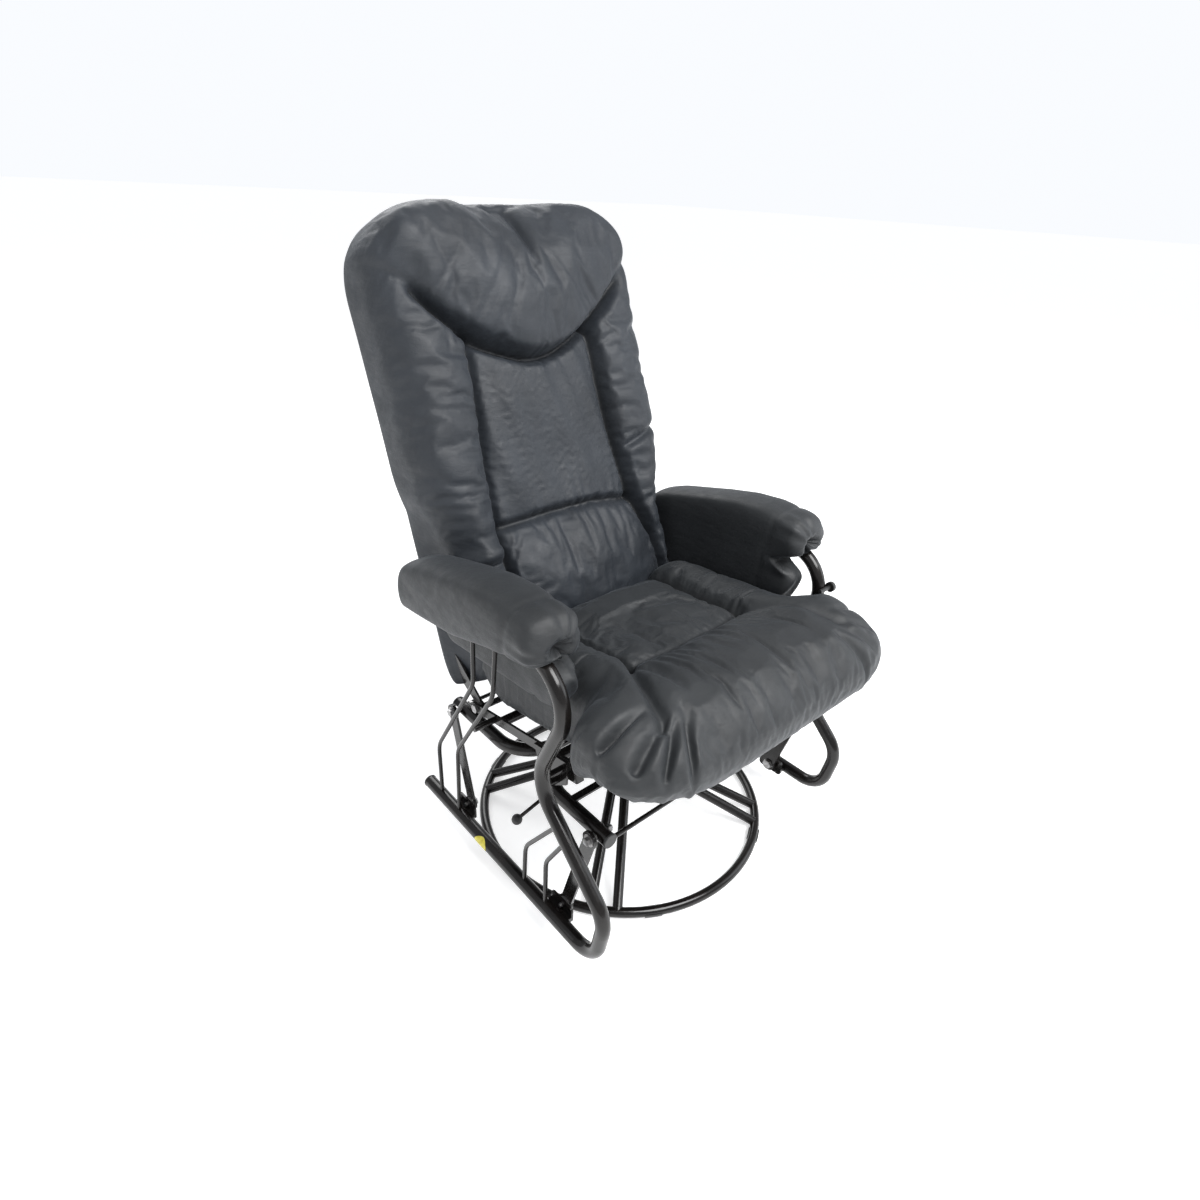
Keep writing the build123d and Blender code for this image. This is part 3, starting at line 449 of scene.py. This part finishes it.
def back_front(x, up):
    """How far the upholstered face stands in front of the back's mid plane."""
    near, near_run = seam_distance(x, up, panel_edge_near)
    far, far_run = seam_distance(x, up, panel_edge_far)
    lumbar, lumbar_run = seam_distance(x, up, lumbar_edge)
    fold, fold_run = seam_distance(x, up, head_fold)
    edge_near = np.interp(up, [p[1] for p in panel_edge_near[::-1]], [p[0] for p in panel_edge_near[::-1]])
    edge_far = np.interp(up, [p[1] for p in panel_edge_far[::-1]], [p[0] for p in panel_edge_far[::-1]])
    inside = smooth(-0.004, 0.004, x - edge_near) * smooth(-0.004, 0.004, edge_far - x)
    above_fold = smooth(-0.006, 0.006, up - fold_line(x))
    lumbar_top = np.interp(x, [p[0] for p in lumbar_edge], [p[1] for p in lumbar_edge])
    in_lumbar = inside * smooth(-0.005, 0.005, lumbar_top - up)

    half = back_half_width(up)
    across_bolster = np.where(x < 0, (edge_near - x) / (edge_near + half), (x - edge_far) / (half - edge_far))
    across_bolster = np.clip(across_bolster, 0, 1)
    bolster = 0.052 + 0.027 * np.sin(pi * across_bolster**0.75) ** 0.7
    across_panel = np.clip((x - edge_near) / (edge_far - edge_near), 0, 1)
    panel = 0.050 + 0.016 * np.sin(pi * across_panel) ** 0.8
    lumbar_height = np.clip((up + 0.07) / (lumbar_top + 0.07), 0, 1)
    roll = 0.050 + 0.032 * np.sin(pi * lumbar_height**0.9) ** 0.6 * (0.75 + 0.25 * np.sin(pi * across_panel))
    lower = bolster * (1 - inside) + inside * (panel * (1 - in_lumbar) + roll * in_lumbar)

    crown = np.clip((up - fold_line(x)) / 0.27, 0, 1)
    head = 0.056 + 0.046 * np.sin(pi * crown**0.62) ** 0.75 * (1 - 0.45 * (x / 0.27) ** 2)
    head -= 0.016 * smooth(0.6, 1.0, crown)
    off = lower * (1 - above_fold) + head * above_fold

    side_fade = 1 - smooth(0.19, 0.25, np.abs(x))
    off -= 0.030 * bump(fold, 0, 0.011) * (0.25 + 0.75 * side_fade)
    below_fold = 1 - above_fold
    seam_top = smooth(-0.03, 0.02, fold_line(x) - up)
    off -= 0.017 * (bump(near, 0, 0.009) + bump(far, 0, 0.009)) * seam_top
    off -= 0.014 * bump(lumbar, 0, 0.008)

    off += 0.0032 * gathers(near, near_run, 0.035, 0.036, 1.0) * seam_top * (1 - inside)
    off += 0.0015 * gathers(near, near_run, 0.022, 0.030, 2.0) * seam_top * inside
    off += 0.0032 * gathers(far, far_run, 0.035, 0.038, 3.0) * seam_top * (1 - inside)
    off += 0.0015 * gathers(far, far_run, 0.022, 0.031, 4.0) * seam_top * inside
    off += 0.0026 * gathers(lumbar, lumbar_run, 0.040, 0.030, 5.0) * inside
    off += 0.0034 * gathers(fold, fold_run, 0.045, 0.034, 6.0) * above_fold
    off += 0.0018 * gathers(fold, fold_run, 0.020, 0.026, 7.0) * below_fold

    # level drag lines across the bolsters, and a deep fold where they are squashed by the arm pads
    drag = wobble(x * 0.35, up, 26.0, 11.0) * 0.0022 + wobble(x * 0.5, up, 55.0, 12.0) * 0.0011
    off += drag * (1 - inside) * below_fold
    fold_near = up - (0.108 + 0.10 * (x + 0.22))
    off -= 0.016 * bump(fold_near, 0, 0.009) * smooth(-0.15, -0.18, x) * (x < 0)
    off += 0.008 * bump(fold_near, 0.022, 0.014) * smooth(-0.15, -0.18, x) * (x < 0)
    fold_far = up - (0.282 + 0.35 * (x - 0.21))
    off -= 0.013 * bump(fold_far, 0, 0.008) * smooth(0.165, 0.185, x)
    # creases that run down the head pillow towards the corners, and the pinch in the middle of its top
    pinch = np.hypot((x - 0.012) / 0.008, (up - 0.690) / 0.032)
    off -= 0.007 * np.exp(-(pinch**2))
    off += 0.0045 * wobble(x + up * 0.35, up * 0.45 - np.abs(x) * 0.5, 17.0, 21.0) * above_fold
    off += 0.0022 * wobble(x, up, 9.0, 23.0)
    # long soft folds that lean across the middle panel
    off += 0.0042 * wobble(x + 0.25 * up, up * 0.22, 24.0, 24.0) * inside * below_fold * (1 - in_lumbar)
    return off


def nearest_seam(a, b, routes):
    """Distance from each point (a, b) to the nearest of the routes, at most 1 m."""
    nearest = np.full(np.shape(a), 1.0)
    for route in routes:
        nearest = np.minimum(nearest, seam_distance(a, b, route)[0])
    return nearest


def back_hold(x, up, nearest):
    """1 on the seams, 0 where the leather is free to wrinkle, and little freedom in the taut middle panel."""
    middle_panel = smooth(0.155, 0.135, np.abs(x)) * smooth(0.17, 0.20, up) * smooth(0.0, -0.03, up - fold_line(x))
    return np.maximum(1 - smooth(0.004, 0.016, nearest), 0.97 * middle_panel)


def make_back():
    places, side_round = edge_samples(96, 0.20, 14)
    heights, end_round = edge_samples(120, 0.13, 12)
    u, t = np.meshgrid(places, (heights + 1) / 2)
    edge = np.outer(end_round**0.75, side_round**0.55)
    rear_edge = np.outer(end_round**0.4, side_round**0.22)
    up = back_low + t * (back_top(u * 0.272) - back_low)
    x = u * back_half_width(up)
    side_sag = 0.0035 * wobble(up * 0 + np.sign(u), up, 22.0, 31.0) * smooth(0.75, 1.0, np.abs(u))
    x = x + side_sag * np.sign(u)
    middle = -0.008 - 0.014 * smooth(0.6, 0.75, up)
    front = middle + (back_front(x, up) - middle) * edge
    # the outer back: a panel with a stitched border, its fabric a little slack
    border = np.minimum(0.228 - np.abs(x), np.minimum(up - back_low - 0.045, back_top(x) - 0.060 - up))
    rear_off = back_rear + 0.003 * wobble(x, up, 6.0, 33.0) + 0.0012 * wobble(x * 3, up, 9.0, 34.0)
    rear_off += 0.0060 * bump(border, 0, 0.0045) - 0.0025 * smooth(0.0, 0.05, border)
    rear = middle + (rear_off - middle) * rear_edge
    rear_x = u * np.maximum(back_half_width(up), 0.274)
    nearest = nearest_seam(x, up, (panel_edge_near, panel_edge_far, lumbar_edge, head_fold))
    hold = np.maximum(back_hold(x, up, nearest), 1 - smooth(0.2, 0.9, edge) * 0.9)
    # painted shade along the seams, kept on the mesh for the leather's colour
    seams = seam_shade_depth * bump(nearest, 0, seam_shade_width)
    obj, hold = pillow("back_upholstery", on_back(x, up, front), on_back(rear_x, up, rear), hold, 1.0, seams)
    settle(obj, hold, pressure=3.0, slack=0.045, cap=0.016)
    refine(obj)
    return obj


back_upholstery = make_back()
finish_piece(back_upholstery, "back", "back_cushion", "headrest_cushion", "back_rear_cover", "back_board",
             fill=0.75, skin=leather_painted_skylight)

# ---------------------------------------------------------------- seat cushion
seat_low, seat_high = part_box("seat_cushion")
seat_front = seat_low.y
seat_rear = 0.116
pan_slope = 0.195            # the pan falls towards the rear by this much per metre
pan_height = 0.3425          # its height at y = 0
rear_lean = 0.15             # how far the rear edge leans back, per metre above the pan


def seat_half_width(y):
    """Narrow between the arm pads, wider in front of them."""
    return 0.2555 + 0.070 * smooth(-0.150, -0.225, y)


def seat_front_edge(x):
    """The front edge's y: straight in the middle, rounded back at the corners."""
    side = np.where(x < 0, np.clip((-x - 0.185) / 0.136, 0, 1), np.clip((x - 0.205) / 0.118, 0, 1))
    return seat_front + 0.006 + np.where(x < 0, 0.100, 0.078) * (1 - np.sqrt(1 - side**2))


seat_panel_near = [(-0.150, 0.10), (-0.148, -0.02), (-0.146, -0.145)]
seat_panel_far = [(0.148, 0.10), (0.147, 0.0), (0.145, -0.130)]
seat_panel_front = [(-0.146, -0.145), (-0.06, -0.150), (0.05, -0.147), (0.145, -0.130)]


def seat_top(x, y):
    """Height of the seat's upper surface."""
    near, near_run = seam_distance(x, y, seat_panel_near)
    far, far_run = seam_distance(x, y, seat_panel_far)
    front, front_run = seam_distance(x, y, seat_panel_front)
    inside = smooth(-0.004, 0.004, 0.147 - np.abs(x)) * smooth(-0.004, 0.004, y + 0.147)
    base = 0.480 - 0.10 * np.minimum(y, 0.1) - 0.20 * np.maximum(-y - 0.19, 0) ** 1.3
    side = np.clip((np.abs(x) - 0.147) / 0.11, 0, 1)
    bolster = 0.016 * np.sin(pi * side**0.8) * (np.abs(x) > 0.147) * smooth(-0.26, -0.12, y)
    roll = 0.014 * bump(y, -0.225, 0.06) * (y < -0.1)
    panel = 0.0036 * np.cos(x / 0.147 * pi / 2) * inside
    top = base + bolster + roll + panel - 0.006 * inside
    for d in (near, far):
        top -= 0.012 * bump(d, 0, 0.009)
    top -= 0.0075 * bump(front, 0, 0.011)
    top += 0.0030 * gathers(near, near_run, 0.035, 0.032, 41.0) * (1 - inside)
    top += 0.0030 * gathers(far, far_run, 0.035, 0.033, 42.0) * (1 - inside)
    top += 0.0032 * gathers(front, front_run, 0.070, 0.034, 43.0) * (1 - inside)
    top += 0.0012 * gathers(front, front_run, 0.030, 0.030, 44.0) * inside
    # folds that run from the panel's corners over the front roll
    for sign, depth in ((-1, 0.015), (1, 0.006)):
        line = [(sign * 0.146, -0.140), (sign * 0.190, -0.215), (sign * 0.225, -0.30)]
        d, _ = seam_distance(x, y, line)
        top -= depth * bump(d, 0, 0.010)
    # pleats gathered at the front corners
    for sign, depth in ((-1, 0.024), (1, 0.010)):
        for start, end in (((0.312, -0.268), (0.232, -0.262)), ((0.292, -0.318), (0.214, -0.286)),
                           ((0.262, -0.345), (0.205, -0.300)), ((0.222, -0.362), (0.190, -0.310))):
            d, run = seam_distance(x, y, [(sign * start[0], start[1]), (sign * end[0], end[1])])
            top -= depth * bump(d, 0, 0.0065) * (1 - 0.85 * smooth(0.02, 0.09, run))
    top += 0.0026 * wobble(x, y * 0.30, 26.0, 45.0) * smooth(-0.10, -0.22, y)
    top += 0.0022 * wobble(x, y, 11.0, 46.0)
    return top


def make_seat():
    places, side_round = edge_samples(112, 0.20, 14)
    lengths, end_round = edge_samples(104, 0.27, 16)
    u, t = np.meshgrid(places, (lengths + 1) / 2)
    edge = np.outer(end_round**0.85, side_round**0.55)
    guess_x = u * 0.31
    y = seat_front_edge(guess_x) + t * (seat_rear - seat_front_edge(guess_x))
    x = u * seat_half_width(y)
    top = seat_top(x, y)
    blend_low = smooth(-0.26, -0.16, y)
    pan = pan_height - pan_slope * y + 0.001 - 0.012 * smooth(0.21, 0.25, np.abs(x))
    near_corner = smooth(0.13, 0.30, -x) * smooth(-0.17, -0.27, y)
    roll_floor = 0.3765 + 0.034 * near_corner + 0.008 * smooth(0.15, 0.30, x)
    floor = roll_floor * (1 - blend_low) + pan * blend_low
    middle = (top + floor) / 2 - 0.004
    upper = middle + (top - middle) * edge
    under_power = 0.55 + 0.75 * smooth(-0.16, -0.27, y)
    lower = middle + (floor - middle) * end_round[:, None] * side_round[None, :] ** under_power
    y_upper = y + np.maximum(y - 0.02, 0) / 0.08 * (upper - 0.34) * rear_lean
    nearest = nearest_seam(x, y, (seat_panel_near, seat_panel_far, seat_panel_front))
    hold = np.maximum(1 - smooth(0.004, 0.016, nearest), 1 - smooth(0.1, 0.7, edge))
    hold = np.where(y < -0.20, np.minimum(hold, 0.25), hold)
    # painted shade along the seams, kept on the mesh for the leather's colour
    seams = seam_shade_depth * bump(nearest, 0, seam_shade_width)
    upper_face = np.stack([x, y_upper, upper], -1)
    obj, hold = pillow("seat_upholstery", upper_face, np.stack([x, y, lower], -1), hold, 0.5, seams)
    settle(obj, hold, pressure=3.0, slack=0.045, cap=0.016)
    refine(obj)
    return obj


seat_upholstery = make_seat()
finish_piece(seat_upholstery, "seat", "seat_cushion", fill=0.75)

# ---------------------------------------------------------------- arm pads: a padded roll and the flap inside it
# heights along the pad, as (y, z) from its front end to its rear end
arm_seam_y = -0.090
arm_top_line = [
    (-0.165, 0.632), (-0.13, 0.643), (-0.06, 0.6465), (0.0, 0.641), (0.068, 0.627), (0.19, 0.597), (0.25, 0.575),
]
arm_low_line = [(-0.165, 0.578), (-0.10, 0.566), (-0.038, 0.553), (0.064, 0.524), (0.169, 0.509), (0.25, 0.500)]
arm_flap_line = [(-0.165, 0.492), (-0.125, 0.466), (-0.10, 0.458), (0.17, 0.432), (0.20, 0.452), (0.24, 0.490)]


def height_at(y, line):
    return np.interp(y, *zip(*line))


def rounded_loop(corners, count, passes=3):
    """A closed loop through softened corners, evenly spaced."""
    loop = np.array(corners, float)
    for _ in range(passes):
        following = np.roll(loop, -1, axis=0)
        loop = np.stack([0.75 * loop + 0.25 * following, 0.25 * loop + 0.75 * following], 1).reshape(-1, 2)
    closed = np.vstack([loop, loop[:1]])
    run = np.concatenate([[0], np.cumsum(np.hypot(*np.diff(closed, axis=0).T))])
    places = np.linspace(0, run[-1], count, endpoint=False)
    return np.stack([np.interp(places, run, closed[:, 0]), np.interp(places, run, closed[:, 1])], -1)


def arm_section(y):
    """The pad's (x, z) section: a roll over the tube, with a flap that hangs down beside the seat."""
    top, low, flap = height_at(y, arm_top_line), height_at(y, arm_low_line), height_at(y, arm_flap_line)
    return rounded_loop([
        (0.2575, flap), (0.2560, flap + 0.05), (0.2560, low + 0.02), (0.2550, top - 0.020), (0.268, top + 0.004),
        (0.342, top + 0.004), (0.356, top - 0.022), (0.356, low + 0.018), (0.348, low - 0.004),
        (0.315, low - 0.003), (0.294, low + 0.004), (0.2945, flap + 0.03), (0.290, flap - 0.002),
    ], 120)


def make_arm_pad(side):
    front, rear = -0.168, 0.252
    stations, closing = edge_samples(66, 0.14, 12)
    loops = []
    for place, shrink in zip(stations, closing):
        y = front + (place + 1) / 2 * (rear - front)
        section = arm_section(y)
        angle = np.arctan2(section[:, 1] - 0.58, section[:, 0] - 0.305)
        run = y - front
        centre = np.array([0.302, (height_at(y, arm_top_line) + height_at(y, arm_low_line)) / 2 - 0.012])
        pucker = 0.10 * np.sin(angle * 11 + 2.5 * np.sin(3 * angle)) * np.exp(-run / 0.030) * (place < 0)
        seam = 1 - 0.05 * bump(y + 0.010 * np.sin(angle), arm_seam_y, 0.006)
        scale = (shrink * seam * (1 + pucker))[:, None]
        section = centre + (section - centre) * scale
        # the gathered front end: its middle is tucked in, and a notch parts the roll from the flap
        tuck = 0.026 * (1 - smooth(0.0, 0.55, shrink)) * (place < 0)
        notch = 0.050 * bump(section[:, 1], 0.556, 0.013) * (1 - smooth(0.0, 0.10, run))
        notch = notch * (1 - smooth(0.300, 0.330, section[:, 0]))
        loops.append(np.stack([side * section[:, 0], y + tuck + notch, section[:, 1]], -1))
    loops = np.array(loops)
    if side < 0:
        loops = loops[:, ::-1]
    obj = ring_loft("arm_pad_cover_right" if side < 0 else "arm_pad_cover_left", loops)
    ends = np.repeat(1 - smooth(0.2, 0.9, closing) * 0.9, loops.shape[1])
    seam_hold = bump(loops[:, :, 1], arm_seam_y, 0.008).ravel()
    settle(obj, list(np.maximum(ends, seam_hold)) + [1.0, 1.0], pressure=2.0, slack=0.05, cap=0.008)
    smoothed(obj, 0.5, 1)
    refine(obj)
    return obj


for side, hand in ((-1, "right"), (1, "left")):
    finish_piece(make_arm_pad(side), "seat", f"arm_pad_{hand}", fill=0.8)

# ---------------------------------------------------------------- floor, lights, camera
def make_floor():
    """A white floor that glows a little, so that it runs into the white background."""
    made, nodes, links, shader = material("studio_floor")
    space = texture_space(nodes, links)
    tone = noise_node(nodes, links, space, 3, 3, 0.5)
    links.new(ramp_node(nodes, links, tone, [(0.3, 0.80), (0.7, 0.83)]), shader.inputs["Base Color"])
    shader.inputs["Roughness"].default_value = 0.9
    shader.inputs["Emission Color"].default_value = (1, 1, 1, 1)
    shader.inputs["Emission Strength"].default_value = 0.56
    reach = 60               # far enough that its edge is never seen
    points = [(-reach, -reach, 0), (reach, -reach, 0), (reach, reach, 0), (-reach, reach, 0)]
    floor = new_object("floor", points, [(0, 1, 2, 3)])
    floor.data.materials.append(made)


def area_light(name, place, target, size, power, color=(1, 1, 1)):
    """A rectangular light of power watts at place, aimed at target."""
    data = bpy.data.lights.new(name, "AREA")
    data.shape = "RECTANGLE"
    data.size, data.size_y = size
    data.energy = power
    data.color = color
    light = bpy.data.objects.new(name, data)
    bpy.context.scene.collection.objects.link(light)
    light.location = place
    light.rotation_euler = (Vector(target) - Vector(place)).to_track_quat("-Z", "Y").to_euler()


make_floor()
chair_middle = (0, 0.05, 0.6)
area_light("key", (0.2, -2.0, 3.2), chair_middle, (2.2, 1.8), 150)
area_light("fill", (2.8, -2.0, 1.8), chair_middle, (2.0, 2.4), 34, (0.93, 0.96, 1.0))
area_light("window", (-3.0, 0.6, 1.8), chair_middle, (1.6, 2.2), 9, (0.95, 0.97, 1.0))
area_light("rim", (0.8, 3.0, 2.6), chair_middle, (2.2, 1.4), 45)

# the backdrop looks white to the camera and lights the chair a little less
ambient_light = 0.55
backdrop_brightness = 1.0
world = bpy.data.worlds.new("studio")
world.use_nodes = True
backdrop = world.node_tree.nodes["Background"]
backdrop.inputs["Color"].default_value = (0.95, 0.97, 1.0, 1)
seen = world.node_tree.nodes.new("ShaderNodeLightPath")
level = world.node_tree.nodes.new("ShaderNodeMapRange")
level.inputs["To Min"].default_value = ambient_light
level.inputs["To Max"].default_value = backdrop_brightness
world.node_tree.links.new(seen.outputs["Is Camera Ray"], level.inputs["Value"])
world.node_tree.links.new(level.outputs["Result"], backdrop.inputs["Strength"])
bpy.context.scene.world = world


def make_camera():
    """The camera that took the photo, as fitted to the chair's edges."""
    place = (-0.84945, -0.84503, 1.16969)
    azimuth, pitch, roll = radians(-43.149), radians(28.352), radians(3.318)
    back = Vector((sin(azimuth) * cos(pitch), -cos(azimuth) * cos(pitch), sin(pitch)))
    right = (-back).cross(Vector((0, 0, 1))).normalized()
    upward = right.cross(-back)
    tilted_right = right * cos(roll) + upward * sin(roll)
    tilted_up = upward * cos(roll) - right * sin(roll)
    data = bpy.data.cameras.new("photo_camera")
    data.sensor_width = 36
    data.lens = 22.174
    data.shift_x = -0.0106
    data.shift_y = -0.0095
    camera = bpy.data.objects.new("photo_camera", data)
    bpy.context.scene.collection.objects.link(camera)
    turn = Matrix((tilted_right, tilted_up, back)).transposed().to_4x4()
    camera.matrix_world = Matrix.Translation(place) @ turn
    bpy.context.scene.camera = camera


make_camera()
bpy.context.scene.view_settings.view_transform = "Standard"
